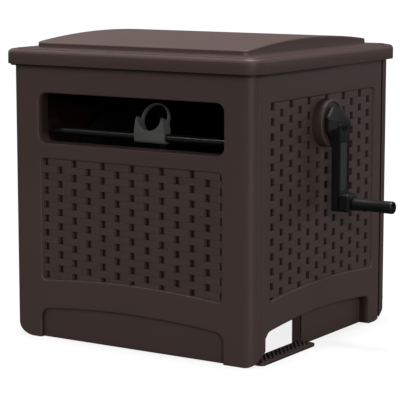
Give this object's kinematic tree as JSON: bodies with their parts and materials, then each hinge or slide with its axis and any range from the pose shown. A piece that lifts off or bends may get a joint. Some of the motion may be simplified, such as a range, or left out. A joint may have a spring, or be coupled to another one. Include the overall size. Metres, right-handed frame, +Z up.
{
  "type": "hose reel box",
  "caption": "Floor-standing resin box that hides a garden hose reel: woven side panels, a hinged crowned lid, a hose window with a sliding guide, and a geared side crank.",
  "frame": {"origin": "middle of the part's overall length and depth, on the floor", "axes": "+X to the crank side, -Y to the front with the hose window, +Z up"},
  "size_m": [0.6834, 0.534, 0.5649],
  "materials": {
    "shell_plastic": "matte moulded resin, dark brown",
    "black_plastic": "matte moulded, black",
    "grey_plastic": "matte moulded, mid grey",
    "nylon": "natural, slightly waxy",
    "steel": "zinc plated",
    "seal_rubber": "matte"
  },
  "bodies": {
    "box": {"front_wall": "shell_plastic", "right_wall": "shell_plastic", "left_wall": "shell_plastic", "back_wall": "shell_plastic", "front_weave": "shell_plastic", "right_weave": "shell_plastic", "left_weave": "shell_plastic", "hinge_pins": "steel", "wall_screws": "steel", "right_bracket": "black_plastic", "left_bracket": "black_plastic", "bracket_screws": "steel", "right_bearing": "nylon", "left_bearing": "nylon", "crank_bush": "nylon", "crank_boss": "shell_plastic", "boss_screws": "steel", "inlet_swivel": "black_plastic", "swivel_screws": "steel", "swivel_seals": "seal_rubber", "guide_rod": "black_plastic", "right_rod_socket": "shell_plastic", "left_rod_socket": "shell_plastic", "foot_plate": "shell_plastic"},
    "lid": {"lid": "shell_plastic"},
    "reel": {"reel_gear": "nylon", "gear_bolts": "steel", "gear_axle": "steel", "right_flange": "black_plastic", "left_flange": "black_plastic", "drum": "black_plastic", "water_axle": "black_plastic", "hose_outlet": "nylon"},
    "crank": {"crank_arm": "black_plastic", "crank_shaft": "steel", "drive_pinion": "nylon", "grip_pin": "steel"},
    "grip": {"crank_grip": "black_plastic"},
    "guide": {"hose_guide": "grey_plastic"}
  },
  "joints": [
    {"name": "lid_hinge", "type": "hinge", "parent": "box", "child": "lid", "pos_m": [-0.06425, 0.257, 0.505], "axis": [-1, 0, 0], "range_deg": [0, 100]},
    {"name": "reel_spin", "type": "hinge", "parent": "box", "child": "reel", "pos_m": [-0.06425, -0.002, 0.262], "axis": [1, 0, 0], "continuous": true},
    {"name": "crank_spin", "type": "hinge", "parent": "box", "child": "crank", "pos_m": [0.22575, -0.002, 0.41], "axis": [1, 0, 0], "continuous": true},
    {"name": "grip_spin", "type": "hinge", "parent": "crank", "child": "grip", "pos_m": [0.30075, -0.002, 0.264], "axis": [1, 0, 0], "continuous": true},
    {"name": "guide_slide", "type": "slide", "parent": "box", "child": "guide", "axis": [1, 0, 0], "range_m": [-0.195, 0.15]}
  ],
  "couplings": [
    {"joint": "crank_spin", "follows": "reel_spin", "ratio": -2.7}
  ]
}
